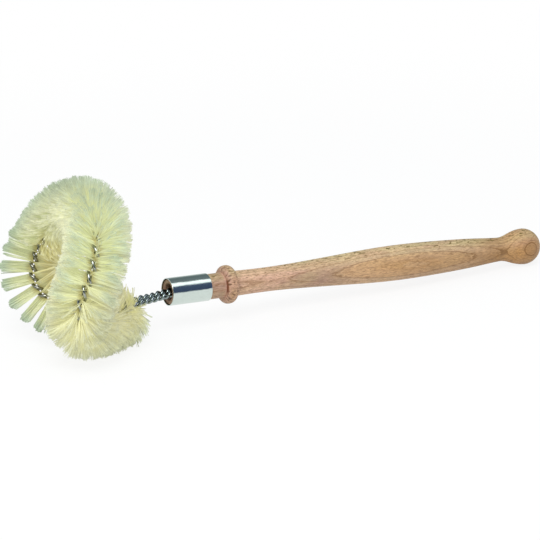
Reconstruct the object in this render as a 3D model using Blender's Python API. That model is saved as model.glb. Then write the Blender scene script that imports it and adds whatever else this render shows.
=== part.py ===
"""A wooden-handled toilet brush: a turned beech handle with a ball end, a plated steel
ferrule, and a twisted pair of wires that holds tufts of bristles, bent into an upright ring."""

import math

import bmesh
import bpy
import numpy as np
from mathutils import Vector

mm = 0.001

# Gap kept between pieces that touch in the real object.
touch_gap = 0.3 * mm

# Handle: a nose in the ferrule, a half-round bead, a swelling grip, a neck and a ball end.
nose_recess = 0.8 * mm
bare_nose_length = 11.2 * mm
handle_bevel = 0.4 * mm
bead_half_width = 4.1 * mm
bead_radius = 12.95 * mm
bead_roundness = 2.4
bead_root_length = 2.2 * mm
grip_length = 208.0 * mm
grip_radius = 12.2 * mm
grip_along_shares = (0.0, 0.06, 0.15, 0.27, 0.40, 0.52, 0.63, 0.73, 0.83, 0.92)
grip_radius_shares = (0.692, 0.672, 0.678, 0.754, 0.871, 0.97, 0.998, 0.961, 0.891, 0.793)
neck_radius = 8.4 * mm
swell_length = 21.2 * mm
swell_along_shares = (0.14, 0.26, 0.363, 0.472, 0.59, 0.708, 0.85, 1.0)
swell_radius_shares = (0.0, 0.105, 0.245, 0.43, 0.628, 0.79, 0.93, 1.0)
ball_radius = 12.65 * mm
ball_pole_flat_radius = 3.4 * mm
handle_sides = 32
bead_rings = 10
grip_rings = 20
swell_rings = 9
ball_rings = 8

# Ferrule, a plain tube pressed over the nose.
ferrule_length = 29.0 * mm
ferrule_radius = 9.3 * mm
ferrule_wall = 0.5 * mm
ferrule_sides = 48

# Wires: one twisted pair, closely laid in the two legs and open through the bristles.
wire_diameter = 2.2 * mm
stem_pitch = 8.4 * mm
head_turns = 19.5
near_side_pitch_share = 1.32
points_per_turn = 8
leg_gap = 0.4 * mm
leg_shown_length = 21.0 * mm
leg_droop = 3.6 * mm
lay_change_length = 7.0 * mm
side_change_length = 90.0 * mm
lay_turn_at_branch = 0.333
path_step = 0.25 * mm

# Blind bore in the nose for the two legs.
socket_clearance = 0.3 * mm
socket_depth = 24.0 * mm
socket_mouth_chamfer = 0.5 * mm
leg_end_clearance = 2.0 * mm

# Ring, from the point where the legs branch.
ring_reach = 59.2 * mm
ring_half_width = 38.5 * mm
ring_height = 62.4 * mm
ring_forward_shares = (0.29, 0.57, 0.85, 0.99, 0.975, 0.86, 0.76, 0.66)
ring_side_shares = (0.105, 0.335, 0.66, 0.852, 1.0, 0.927, 0.745, 0.345)
ring_height_shares = (-0.16, -0.166, -0.092, 0.061, 0.335, 0.583, 0.806, 0.952)
ring_top_forward_share = 0.65
leg_along_shares = (0.3, 0.6, 0.9)
leg_side_shares = (1.0, 1.0, 1.12)
leg_droop_shares = (0.55, 0.8, 0.98)
mouth_droop_share = 0.25

# Bristles, each strand a bundle of them, drawn out of a core between the wires.
bristle_reach = 21.9 * mm
bristle_core_thickness = 0.9 * mm
bristle_core_half_width = 1.6 * mm
bristle_tip_share = 1.1
strands_per_side = 6
tuft_gap = 0.3 * mm
strand_samples = 40
shortest_strand = 5.0 * mm
first_tuft_after_branch = 4.3 * mm
floor_cut = 0.5 * mm

# Places and sizes that follow.
bead_centre_at = ferrule_length + bare_nose_length + bead_half_width
grip_starts_at = bead_centre_at + bead_half_width + bead_root_length
neck_at = grip_starts_at + grip_length
ball_centre_at = neck_at + swell_length
handle_end = ball_centre_at + math.sqrt(ball_radius**2 - ball_pole_flat_radius**2)
nose_radius = ferrule_radius - ferrule_wall - touch_gap

chord_factor = math.cos(math.pi / points_per_turn)
stem_lay_radius = (wire_diameter + touch_gap) / 2 / chord_factor
core_and_gaps = bristle_core_thickness + 2 * touch_gap
head_lay_radius = (wire_diameter + core_and_gaps) / 2 / chord_factor
leg_radius = stem_lay_radius + wire_diameter / 2
leg_side = leg_radius + leg_gap / 2
mouth_droop = leg_droop * mouth_droop_share
socket_radius = math.hypot(leg_side, mouth_droop) + leg_radius + socket_clearance

tuft_count = int(head_turns * 2)


def clear_scene():
    for obj in list(bpy.data.objects):
        bpy.data.objects.remove(obj, do_unlink=True)


def make_material(name, colour, roughness, metallic):
    material = bpy.data.materials.new(name)
    material.use_nodes = True
    shader = material.node_tree.nodes["Principled BSDF"]
    shader.inputs["Base Color"].default_value = (*colour, 1.0)
    shader.inputs["Roughness"].default_value = roughness
    shader.inputs["Metallic"].default_value = metallic
    material.diffuse_color = (*colour, 1.0)
    return material


def add_object(name, data, material, parent):
    obj = bpy.data.objects.new(name, data)
    data.materials.append(material)
    bpy.context.scene.collection.objects.link(obj)
    obj.parent = parent
    return obj


def spin_profile(name, profile, sides, material, parent):
    """Turns a closed or axis-to-axis profile of (along, radius) pairs about the handle's axis."""
    mesh = bpy.data.meshes.new(name)
    bm = bmesh.new()
    corners = [bm.verts.new((along, 0, radius)) for along, radius in profile]
    edges = [bm.edges.new(pair) for pair in zip(corners, corners[1:])]
    if profile[0][1] > 0 and profile[-1][1] > 0:
        edges.append(bm.edges.new((corners[-1], corners[0])))
    bmesh.ops.spin(
        bm,
        geom=corners + edges,
        cent=(0, 0, 0),
        axis=(1, 0, 0),
        angle=math.tau,
        steps=sides,
        use_merge=True,
        use_duplicate=False,
    )
    bmesh.ops.remove_doubles(bm, verts=bm.verts, dist=path_step / 100)
    bmesh.ops.recalc_face_normals(bm, faces=bm.faces)
    bm.to_mesh(mesh)
    bm.free()
    mesh.shade_smooth()
    mesh.set_sharp_from_angle(angle=math.radians(35))
    return add_object(name, mesh, material, parent)


def smooth_through(points, count):
    """Evenly spaced points on a cubic curve through the given points."""
    points = np.array(points, float)
    steps = np.linalg.norm(np.diff(points, axis=0), axis=1)
    knots = np.concatenate([[0], np.cumsum(steps)])
    size = len(points)
    matrix = np.eye(size)
    right = np.zeros_like(points)
    for i in range(1, size - 1):
        before = steps[i - 1]
        after = steps[i]
        matrix[i, i - 1 : i + 2] = (before, 2 * (before + after), after)
        slope_after = (points[i + 1] - points[i]) / after
        slope_before = (points[i] - points[i - 1]) / before
        right[i] = 6 * (slope_after - slope_before)
    bend = np.linalg.solve(matrix, right)
    where = np.linspace(0, knots[-1], count)
    index = np.clip(np.searchsorted(knots, where, side="right") - 1, 0, size - 2)
    span = steps[index][:, None]
    left = (knots[index + 1] - where)[:, None]
    done = (where - knots[index])[:, None]
    first = points[index] / span - bend[index] * span / 6
    second = points[index + 1] / span - bend[index + 1] * span / 6
    cubic = (bend[index] * left**3 + bend[index + 1] * done**3) / (6 * span)
    return cubic + first * left + second * done


def nose_profile():
    """From the bottom of the socket out over the nose."""
    return [
        (nose_recess + socket_depth, 0),
        (nose_recess + socket_depth, socket_radius),
        (nose_recess + socket_mouth_chamfer, socket_radius),
        (nose_recess, socket_radius + socket_mouth_chamfer),
        (nose_recess, nose_radius - handle_bevel),
        (nose_recess + handle_bevel, nose_radius),
    ]


def bead_profile():
    """Over the half-round bead, from the nose to the root of the grip."""
    grip_root = grip_radius * grip_radius_shares[0]
    points = []
    for ring in range(bead_rings + 1):
        across = -math.cos(math.pi * ring / bead_rings)
        base = nose_radius if across < 0 else grip_root
        crown = max(1 - abs(across) ** bead_roundness, 0) ** (1 / bead_roundness)
        along = bead_centre_at + bead_half_width * across
        points.append((along, base + (bead_radius - base) * crown))
    return points


def grip_profile():
    """The swelling grip and its neck, up to the widest place of the ball."""
    points = []
    for along_share, radius_share in zip(grip_along_shares, grip_radius_shares):
        along = grip_starts_at + grip_length * along_share
        points.append((along, grip_radius * radius_share))
    points.append((neck_at, neck_radius))
    for along_share, radius_share in zip(swell_along_shares, swell_radius_shares):
        radius = neck_radius + (ball_radius - neck_radius) * radius_share
        points.append((neck_at + swell_length * along_share, radius))
    curve = smooth_through(points, int(grip_length / path_step))
    grip = np.linspace(grip_starts_at, neck_at, grip_rings)
    swell = np.linspace(neck_at, ball_centre_at, swell_rings + 1)[1:-1]
    places = np.concatenate([grip, swell])
    return list(zip(places, np.interp(places, curve[:, 0], curve[:, 1])))


def ball_profile():
    """From the widest place of the ball to the flat where it was parted off."""
    points = []
    last = math.acos(ball_pole_flat_radius / ball_radius)
    for ring in range(ball_rings + 1):
        angle = last * ring / ball_rings
        along = ball_centre_at + ball_radius * math.sin(angle)
        points.append((along, ball_radius * math.cos(angle)))
    points.append((handle_end, 0))
    return points


def build_handle(material, parent):
    profile = nose_profile() + bead_profile() + grip_profile() + ball_profile()
    return spin_profile("handle", profile, handle_sides, material, parent)


def build_ferrule(material, parent):
    inner = ferrule_radius - ferrule_wall
    edge = ferrule_wall / 4
    profile = [
        (0, inner),
        (0, ferrule_radius - edge),
        (edge, ferrule_radius),
        (ferrule_length - edge, ferrule_radius),
        (ferrule_length, ferrule_radius - edge),
        (ferrule_length, inner),
    ]
    return spin_profile("ferrule", profile, ferrule_sides, material, parent)


def ring_points():
    """The middle of the wire pair: up one leg, round the ring and back down the other leg."""
    leg_end = nose_recess + socket_depth - leg_end_clearance
    half = [(leg_end, leg_side, 0), (leg_end / 2, leg_side, 0), (0, leg_side, -mouth_droop)]
    for forward, sideways, down in zip(leg_along_shares, leg_side_shares, leg_droop_shares):
        half.append((-leg_shown_length * forward, leg_side * sideways, -leg_droop * down))
    shares = zip(ring_forward_shares, ring_side_shares, ring_height_shares)
    for forward, sideways, up in shares:
        x = -leg_shown_length - ring_reach * forward
        half.append((x, ring_half_width * sideways, ring_height * up))
    top = (-leg_shown_length - ring_reach * ring_top_forward_share, 0, ring_height)
    other = [(x, -y, z) for x, y, z in reversed(half)]
    return half + [top] + other


class WirePath:
    """The centreline with its distance along, its tangents and two normals that do not roll."""

    def __init__(self):
        route = ring_points()
        count = int(sum(math.dist(a, b) for a, b in zip(route, route[1:])) / path_step)
        self.points = smooth_through(route, count)
        steps = np.linalg.norm(np.diff(self.points, axis=0), axis=1)
        self.along = np.concatenate([[0], np.cumsum(steps)])
        tangents = np.gradient(self.points, axis=0)
        self.tangents = tangents / np.linalg.norm(tangents, axis=1)[:, None]
        normal = np.array((0.0, 0.0, 1.0))
        normals = []
        for tangent in self.tangents:
            normal = normal - tangent * normal.dot(tangent)
            normal /= np.linalg.norm(normal)
            normals.append(normal)
        self.normals = np.array(normals)
        self.sides = np.cross(self.tangents, self.normals)
        self.length = self.along[-1]
        front = np.argmax(self.points[:, 0] < -leg_shown_length)
        self.head_start = self.along[front] + first_tuft_after_branch
        self.head_end = self.length - self.head_start
        self.set_lay()
        self.set_strand_clearance()

    def set_lay(self):
        """The left-hand lay: its turn and radius all along, closer in the legs than in the head.
        The head holds the same number of turns whatever its length."""
        into = (self.along - self.head_start) / lay_change_length + 0.5
        out = (self.head_end - self.along) / lay_change_length + 0.5
        open_share = np.clip(np.minimum(into, out), 0, 1)
        open_share = open_share**2 * (3 - 2 * open_share)
        past_top = (self.along - self.length / 2) / side_change_length + 0.5
        near_share = np.clip(past_top, 0, 1)
        legs = self.summed((1 - open_share) / stem_pitch)
        head = self.summed(open_share * (1 - near_share + near_share / near_side_pitch_share))
        ends = np.array((self.head_start, self.head_end))
        legs_start, legs_end = self.at(legs, ends)
        head_start, head_end = self.at(head, ends)
        rate = (head_turns - (legs_end - legs_start)) / (head_end - head_start)
        turns = legs + head * rate
        self.turns = turns - self.at(turns, self.head_start) + lay_turn_at_branch
        change = head_lay_radius - stem_lay_radius
        self.lay_radius = stem_lay_radius + change * open_share

    def summed(self, rate):
        steps = np.diff(self.along) * (rate[1:] + rate[:-1]) / 2
        return np.concatenate([[0], np.cumsum(steps)])

    def set_strand_clearance(self):
        """Room for a strand that is drawn from one of the equal steps of the longest tuft."""
        edges = [tuft_stations(self, number)[[0, -1]] for number in range(tuft_count)]
        spans = [end - start for start, end in edges]
        self.longest_tuft = max(spans) + tuft_gap
        width = max(spans) / strands_per_side
        across = math.hypot(width, bristle_core_thickness)
        self.strand_clearance = across * max(bristle_tip_share, 1) + touch_gap

    def at(self, values, distance):
        if values.ndim == 1:
            return np.interp(distance, self.along, values)
        return np.array([np.interp(distance, self.along, row) for row in values.T])

    def frame(self, distance):
        """The point on the centreline, the way to the first wire and the way of the bristles."""
        point = self.at(self.points, distance)
        angle = -math.tau * self.at(self.turns, distance)
        normal = self.at(self.normals, distance)
        side = self.at(self.sides, distance)
        to_wire = normal * math.cos(angle) + side * math.sin(angle)
        to_tips = side * math.cos(angle) - normal * math.sin(angle)
        to_wire /= np.linalg.norm(to_wire)
        to_tips /= np.linalg.norm(to_tips)
        return point, to_wire, to_tips

    def wire_points(self, sign):
        """Points along one wire, the same number in every turn."""
        count = round((self.turns[-1] - self.turns[0]) * points_per_turn)
        turns = np.linspace(self.turns[0], self.turns[-1], count + 1)
        found = []
        for distance in np.interp(turns, self.turns, self.along):
            point, to_wire, _ = self.frame(distance)
            found.append(point + sign * to_wire * self.at(self.lay_radius, distance))
        return np.array(found)


def build_wire(name, points, material, parent):
    curve = bpy.data.curves.new(name, "CURVE")
    curve.dimensions = "3D"
    curve.bevel_depth = wire_diameter / 2
    curve.bevel_resolution = 1
    curve.use_fill_caps = True
    spline = curve.splines.new("POLY")
    spline.points.add(len(points) - 1)
    for spot, point in zip(spline.points, points):
        spot.co = (*point, 1)
    return add_object(name, curve, material, parent)


def least_gap(first, second, skip):
    """Least space between two wires, or a wire and itself past the skipped neighbours."""
    middles = (first[1:] + first[:-1]) / 2
    dense = np.concatenate([first, middles])
    order = np.concatenate([np.arange(len(first)), np.arange(len(middles)) + 0.5])
    other = second
    other_order = np.arange(len(second))
    apart = np.linalg.norm(dense[:, None] - other[None], axis=2)
    near = np.abs(order[:, None] - other_order[None]) < skip
    apart[near] = np.inf
    return float(apart.min()) - wire_diameter


def distance_to_segments(points, starts, ends):
    """Least distance of each point to any of the segments."""
    way = ends - starts
    length_squared = (way**2).sum(1)
    from_start = points[:, None] - starts[None]
    share = np.clip((from_start * way[None]).sum(2) / length_squared[None], 0, 1)
    nearest = starts[None] + way[None] * share[:, :, None]
    return np.linalg.norm(points[:, None] - nearest, axis=2).min(1)


class Strand:
    """One bundle of bristles: where it leaves the core, its way and its length."""

    def __init__(self, tuft, step, sign, root, way, distance):
        self.tuft = tuft
        self.step = step
        self.sign = sign
        self.root = root
        self.way = way
        self.distance = distance
        self.length = bristle_reach - bristle_core_half_width

    def tip(self):
        return self.root + self.way * self.length


def tuft_stations(path, number):
    """The edges of the strands of one tuft, which fills a half turn of the wires."""
    first = path.at(path.turns, path.head_start) + number / 2
    start, end = np.interp((first, first + 0.5), path.turns, path.along)
    return np.linspace(start + tuft_gap / 2, end - tuft_gap / 2, strands_per_side + 1)


def lay_out_strands(path):
    strands = []
    for number in range(tuft_count):
        stations = tuft_stations(path, number)
        for step in range(strands_per_side):
            distance = (stations[step] + stations[step + 1]) / 2
            point, _, to_tips = path.frame(distance)
            for sign in (1, -1):
                way = to_tips * sign
                root = point + way * bristle_core_half_width
                strands.append(Strand(number, step, sign, root, way, distance))
    return strands


def keep_apart(strands, path):
    """Shortens each strand that would come too close to an earlier one, a wire or the middle."""
    half_height = ring_height / 2
    wire_reach = head_lay_radius + wire_diameter / 2
    order = sorted(range(len(strands)), key=lambda i: (i * 7919) % len(strands))
    placed = []
    for index in order:
        strand = strands[index]
        shares = np.linspace(0, 1, strand_samples + 1)
        samples = strand.root + np.outer(shares * strand.length, strand.way)
        bad = np.zeros(len(samples), bool)
        if strand.root[2] < half_height:
            side = 1 if strand.root[1] > 0 else -1
            bad |= samples[:, 1] * side < path.strand_clearance / 2
        far = np.abs(path.along - strand.distance) > path.longest_tuft
        wires = path.points[far][::8]
        near_wire = np.linalg.norm(samples[:, None] - wires[None], axis=2).min(1)
        bad |= near_wire < wire_reach + path.strand_clearance
        others = [other for other in placed if not beside(strand, other)]
        if others:
            starts = np.array([other.root for other in others])
            ends = np.array([other.tip() for other in others])
            gap = distance_to_segments(samples, starts, ends)
            bad |= gap < path.strand_clearance
        if bad.any():
            strand.length *= shares[max(int(np.argmax(bad)) - 1, 0)]
        if strand.length >= shortest_strand:
            placed.append(strand)
    return sorted(placed, key=lambda strand: (strand.tuft, strand.step, strand.sign))


def beside(strand, other):
    """Neighbours on one side of the core, which fan out from each other."""
    apart = (strand.tuft - other.tuft) * strands_per_side + strand.step - other.step
    return strand.sign == other.sign and abs(apart) == 1


def least_strand_gap(strands):
    """Least distance between the middles of two strands that are not side by side."""
    least = math.inf
    shares = np.linspace(0, 1, strand_samples + 1)
    for index, strand in enumerate(strands):
        samples = strand.root + np.outer(shares * strand.length, strand.way)
        others = [other for other in strands[index + 1 :] if not beside(strand, other)]
        if not others:
            continue
        starts = np.array([other.root for other in others])
        ends = np.array([other.tip() for other in others])
        least = min(least, float(distance_to_segments(samples, starts, ends).min()))
    return least


def rest_tilt(path):
    """The handle's slope when the brush lies on the ball and on the bottom of the ring."""
    ring_drop = bristle_reach - floor_cut
    tilt = 0.0
    for _ in range(20):
        down = path.points[:, 2] * math.cos(tilt) - path.points[:, 0] * math.sin(tilt)
        lowest = int(np.argmin(down))
        low_x, _, low_z = path.points[lowest]
        run = ball_centre_at - low_x
        drop = ring_drop - low_z * math.cos(tilt) - ball_radius
        tilt = math.asin(drop / run)
    return tilt


def build_tuft(path, number, strands, floor, material, parent):
    """One half turn of the bristle core with its strands drawn out of both edges."""
    stations = tuft_stations(path, number)
    half = bristle_core_thickness / 2
    mesh = bpy.data.meshes.new(f"tuft_{number + 1:02d}")
    bm = bmesh.new()
    rows = []
    for distance in stations:
        point, to_wire, to_tips = path.frame(distance)
        row = {}
        for column in (-1, 0, 1):
            for level in (-1, 1):
                place = point + to_tips * bristle_core_half_width * column
                row[column, level] = bm.verts.new(place + to_wire * half * level)
        rows.append(row)
    edge_faces = {}
    for step, (here, there) in enumerate(zip(rows, rows[1:])):
        for column in (-1, 0):
            for level in (-1, 1):
                corners = [here[column, level], there[column, level]]
                corners += [there[column + 1, level], here[column + 1, level]]
                bm.faces.new(corners)
        for sign in (-1, 1):
            corners = [here[sign, -1], there[sign, -1], there[sign, 1], here[sign, 1]]
            edge_faces[step, sign] = bm.faces.new(corners)
    for row in (rows[0], rows[-1]):
        for column in (-1, 0):
            corners = [row[column, -1], row[column, 1]]
            bm.faces.new(corners + [row[column + 1, 1], row[column + 1, -1]])
    bmesh.ops.recalc_face_normals(bm, faces=bm.faces)
    for strand in strands:
        face = edge_faces[strand.step, strand.sign]
        made = bmesh.ops.extrude_discrete_faces(bm, faces=[face])
        tip_face = made["faces"][0]
        centre = tip_face.calc_center_median()
        tip = Vector(strand.tip())
        for vert in tip_face.verts:
            start = vert.co.copy()
            vert.co = tip + (start - centre) * bristle_tip_share
            cut_at_floor(vert, start, floor)
    bm.to_mesh(mesh)
    bm.free()
    return add_object(mesh.name, mesh, material, parent)


def whole_box(parent):
    """Lowest and highest corners of all the pieces."""
    graph = bpy.context.evaluated_depsgraph_get()
    corners = []
    for obj in parent.children:
        evaluated = obj.evaluated_get(graph)
        mesh = evaluated.to_mesh()
        points = np.empty(len(mesh.vertices) * 3, np.float32)
        mesh.vertices.foreach_get("co", points)
        turn = np.array(evaluated.matrix_world)
        corners.append(points.reshape(-1, 3) @ turn[:3, :3].T + turn[:3, 3])
        evaluated.to_mesh_clear()
    corners = np.concatenate(corners)
    return corners.min(0), corners.max(0)


def cut_at_floor(vert, start, floor):
    """Slides a corner that is below the floor back along its edge to the floor."""
    normal, level = floor
    depth = vert.co.dot(normal) - level
    if depth < 0:
        above = start.dot(normal) - level
        vert.co = start + (vert.co - start) * (above / (above - depth))


def main():
    clear_scene()
    beech = make_material("beech", (0.62, 0.42, 0.29), 0.55, 0.0)
    plated_steel = make_material("plated steel", (0.72, 0.74, 0.75), 0.18, 1.0)
    galvanised_wire = make_material("galvanised wire", (0.55, 0.56, 0.56), 0.35, 1.0)
    bristle = make_material("bristle", (0.78, 0.78, 0.58), 0.6, 0.0)

    brush = bpy.data.objects.new("brush", None)
    bpy.context.scene.collection.objects.link(brush)

    path = WirePath()
    strands = keep_apart(lay_out_strands(path), path)
    tilt = rest_tilt(path)

    # Height of the floor along its own normal, in the handle's frame.
    floor_normal = Vector((-math.sin(tilt), 0, math.cos(tilt)))
    floor_level = ball_centre_at * floor_normal.x - ball_radius
    floor = (floor_normal, floor_level)

    build_handle(beech, brush)
    build_ferrule(plated_steel, brush)
    first = path.wire_points(1)
    second = path.wire_points(-1)
    build_wire("wire_a", first, galvanised_wire, brush)
    build_wire("wire_b", second, galvanised_wire, brush)
    for number in range(tuft_count):
        own = [strand for strand in strands if strand.tuft == number]
        build_tuft(path, number, own, floor, bristle, brush)

    # The origin is on the floor, under the middle of the whole brush.
    brush.rotation_euler = (0, tilt, 0)
    bpy.context.view_layer.update()
    low, high = whole_box(brush)
    middle = (low + high) / 2
    brush.location = (-middle[0], -middle[1], -floor_level)

    skip = points_per_turn
    print(f"tilt of the handle {math.degrees(tilt):.2f} degrees")
    print(f"wire path {path.length / mm:.1f} mm, {path.turns[-1]:.1f} turns")
    print(f"wire a to itself {least_gap(first, first, skip) / mm:.2f} mm")
    print(f"wire b to itself {least_gap(second, second, skip) / mm:.2f} mm")
    print(f"wire a to wire b {least_gap(first, second, 0) / mm:.2f} mm")
    print(f"tufts {tuft_count}, strands {len(strands)}")
    print(f"least distance between strands {least_strand_gap(strands) / mm:.2f} mm")


main()
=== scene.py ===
import math
from types import SimpleNamespace

import bmesh
import bpy
import numpy as np
from mathutils import Euler, Matrix, Vector


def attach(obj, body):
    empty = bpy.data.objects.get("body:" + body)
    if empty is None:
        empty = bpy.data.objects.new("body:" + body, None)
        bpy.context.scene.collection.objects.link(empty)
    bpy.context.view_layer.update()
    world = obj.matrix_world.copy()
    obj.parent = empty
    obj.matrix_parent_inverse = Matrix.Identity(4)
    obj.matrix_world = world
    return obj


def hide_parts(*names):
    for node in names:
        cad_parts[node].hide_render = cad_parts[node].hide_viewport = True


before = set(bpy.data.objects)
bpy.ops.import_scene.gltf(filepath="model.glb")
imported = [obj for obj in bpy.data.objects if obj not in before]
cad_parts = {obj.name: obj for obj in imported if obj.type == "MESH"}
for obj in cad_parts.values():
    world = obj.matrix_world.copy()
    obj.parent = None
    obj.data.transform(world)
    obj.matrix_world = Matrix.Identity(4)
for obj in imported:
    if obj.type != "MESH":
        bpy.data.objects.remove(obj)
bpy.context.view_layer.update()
print("frame loaded:", len(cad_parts), "nodes")

mm = 0.001
weldDistance = 0.002 * mm

# where the brush lies: the handle's own frame starts at the mouth of the ferrule
lie = {
    "place": (-0.0949073, 0.0000715, 0.0295759),
    "tilt": 3.468097,  # degrees, ball end down
}
lieMatrix = Matrix.Translation(lie["place"]) @ Euler((0, math.radians(lie["tilt"]), 0)).to_matrix().to_4x4()


# shader maths

class Signal:
    # a socket of a node, so that shader maths reads as plain expressions
    def __init__(self, finish, socket):
        self.finish = finish
        self.socket = socket

    def join(self, operation, first, second):
        return self.finish.node("ShaderNodeMath", {"operation": operation}, {0: first, 1: second})

    def __add__(self, other):
        return self.join("ADD", self, other)

    __radd__ = __add__

    def __sub__(self, other):
        return self.join("SUBTRACT", self, other)

    def __rsub__(self, other):
        return self.join("SUBTRACT", other, self)

    def __mul__(self, other):
        return self.join("MULTIPLY", self, other)

    def __truediv__(self, other):
        return self.join("DIVIDE", self, other)

    def __pow__(self, other):
        return self.join("POWER", self, other)


def opaque(colour):
    return colour if isinstance(colour, Signal) else (*colour, 1.0)


class Finish:
    # a material, or the world, whose nodes are all made by one method
    def __init__(self, owner):
        self.owner = owner
        owner.use_nodes = True
        self.tree = owner.node_tree
        self.shader = self.tree.nodes.get("Principled BSDF")

    def node(self, kind, settings=None, sockets=None, output=0):
        made = self.tree.nodes.new(kind)
        for name, value in (settings or {}).items():
            if name == "stops":
                self.setStops(made.color_ramp, value)
            else:
                setattr(made, name, value)
        for key, value in (sockets or {}).items():
            self.feed(made.inputs[key], value)
        return Signal(self, made.outputs[output])

    def setStops(self, ramp, stops):
        while len(ramp.elements) < len(stops):
            ramp.elements.new(1.0)
        for element, (place, colour) in zip(ramp.elements, stops):
            element.position = place
            element.color = (*colour, 1.0)

    def feed(self, socket, value):
        if isinstance(value, Signal):
            self.tree.links.new(value.socket, socket)
        else:
            socket.default_value = value

    def paint(self, **sockets):
        for name, value in sockets.items():
            self.feed(self.shader.inputs[name.replace("_", " ")], value)

    def outputs(self, kind, names, sockets=None):
        # several outputs of one new node
        made = self.node(kind, None, sockets).socket.node
        return [Signal(self, made.outputs[name]) for name in names]

    def mix(self, factor, first, second):
        sockets = {0: factor, 6: opaque(first), 7: opaque(second)}
        return self.node("ShaderNodeMix", {"data_type": "RGBA"}, sockets, 2)

    def scaleColour(self, colour, amount):
        # a brighter or darker colour, whose amount may vary over the surface
        grey = self.node("ShaderNodeCombineColor", None, {0: amount, 1: amount, 2: amount})
        settings = {"data_type": "RGBA", "blend_type": "MULTIPLY"}
        return self.node("ShaderNodeMix", settings, {0: 1.0, 6: opaque(colour), 7: grey}, 2)

    def step(self, value, low, high):
        # 0 up to the first value and 1 from the second, with a smooth rise between them
        settings = {"interpolation_type": "SMOOTHSTEP"}
        return self.node("ShaderNodeMapRange", settings, {0: value, 1: low, 2: high, 3: 0.0, 4: 1.0})

    def band(self, value, rise, fall):
        # 1 between two such steps and 0 on both sides of them
        return self.step(value, *rise) * (1 - self.step(value, *fall))

    def split(self, vector):
        return self.outputs("ShaderNodeSeparateXYZ", "XYZ", {0: vector})

    def join(self, x, y, z):
        return self.node("ShaderNodeCombineXYZ", None, {0: x, 1: y, 2: z})

    def framePoint(self):
        # the place in the frame, in metres
        return self.node("ShaderNodeTexCoord", None, None, "Object")

    def handlePoint(self):
        # the handle's own coordinates: along its axis, sideways and up, in millimetres
        turn = (0, math.radians(lie["tilt"]), 0)
        sockets = {"Vector": self.framePoint(), "Location": lie["place"], "Rotation": turn}
        sockets["Scale"] = (mm,) * 3
        return self.node("ShaderNodeMapping", {"vector_type": "TEXTURE"}, sockets)

    def stretched(self, point, factors):
        settings = {"operation": "MULTIPLY"}
        return self.node("ShaderNodeVectorMath", settings, {0: point, 1: factors})

    def distance(self, point, centre):
        return self.node("ShaderNodeVectorMath", {"operation": "DISTANCE"}, {0: point, 1: centre}, 1)

    def angle(self, rise, run):
        return self.node("ShaderNodeMath", {"operation": "ARCTAN2"}, {0: rise, 1: run})

    def noise(self, point, scale, detail, roughness):
        sockets = {"Vector": point, "Scale": scale, "Detail": detail, "Roughness": roughness}
        return self.node("ShaderNodeTexNoise", None, sockets)

    def pattern(self, point, factors, detail, roughness):
        # noise that changes faster along one axis than along another
        return self.noise(self.stretched(point, factors), 1.0, detail, roughness)

    def bump(self, height, strength, distance):
        sockets = {"Height": height, "Strength": strength, "Distance": distance}
        return self.node("ShaderNodeBump", None, sockets)


def linear(red, green, blue):
    # a colour as it looks on a screen, from 0 to 255, made linear
    values = []
    for value in (red, green, blue):
        share = value / 255
        values.append(share / 12.92 if share <= 0.04045 else ((share + 0.055) / 1.055) ** 2.4)
    return tuple(values)


# pieces

def placed(name, data):
    made = bpy.data.objects.new(name, data)
    bpy.context.scene.collection.objects.link(made)
    return made


def finishPiece(name, mesh, finish, slotName, *nodes):
    piece = placed(name, mesh)
    mesh.materials.append(finish.owner)
    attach(piece, "root")
    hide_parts(*nodes)


def turnProfile(name, profile, sides, sharpAngle):
    # a profile of (along, radius) pairs spun about the handle's axis
    bm = bmesh.new()
    corners = [bm.verts.new((along * mm, 0, radius * mm)) for along, radius in profile]
    edges = [bm.edges.new(pair) for pair in zip(corners, corners[1:])]
    if profile[0][1] > 0 and profile[-1][1] > 0:
        edges.append(bm.edges.new((corners[-1], corners[0])))
    bmesh.ops.spin(bm, geom=corners + edges, cent=(0, 0, 0), axis=(1, 0, 0), angle=math.tau,
                   steps=sides, use_merge=True, use_duplicate=False)
    bmesh.ops.remove_doubles(bm, verts=bm.verts, dist=weldDistance)
    bmesh.ops.recalc_face_normals(bm, faces=bm.faces)
    bmesh.ops.transform(bm, matrix=lieMatrix, verts=bm.verts)
    mesh = bpy.data.meshes.new(name)
    bm.to_mesh(mesh)
    bm.free()
    mesh.shade_smooth()
    mesh.set_sharp_from_angle(angle=math.radians(sharpAngle))
    return mesh


def unit(rows):
    return rows / np.linalg.norm(rows, axis=1)[:, None]


def runningSum(steps):
    return np.concatenate([[0], np.cumsum(steps)])


def ease(share):
    # a smooth rise from 0 to 1
    return share**2 * (3 - 2 * share)


def smoothThrough(points, count):
    # evenly spaced points on a cubic curve through the given points
    points = np.array(points, float)
    steps = np.linalg.norm(np.diff(points, axis=0), axis=1)
    knots = runningSum(steps)
    size = len(points)
    matrix = np.eye(size)
    right = np.zeros_like(points)
    for i in range(1, size - 1):
        before, after = steps[i - 1], steps[i]
        matrix[i, i - 1 : i + 2] = (before, 2 * (before + after), after)
        slopeAfter = (points[i + 1] - points[i]) / after
        slopeBefore = (points[i] - points[i - 1]) / before
        right[i] = 6 * (slopeAfter - slopeBefore)
    bend = np.linalg.solve(matrix, right)
    where = np.linspace(0, knots[-1], count)
    index = np.clip(np.searchsorted(knots, where, side="right") - 1, 0, size - 2)
    span = steps[index][:, None]
    left = (knots[index + 1] - where)[:, None]
    done = (where - knots[index])[:, None]
    first = points[index] / span - bend[index] * span / 6
    second = points[index + 1] / span - bend[index + 1] * span / 6
    cubic = (bend[index] * left**3 + bend[index + 1] * done**3) / (6 * span)
    return cubic + first * left + second * done


# handle

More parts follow.
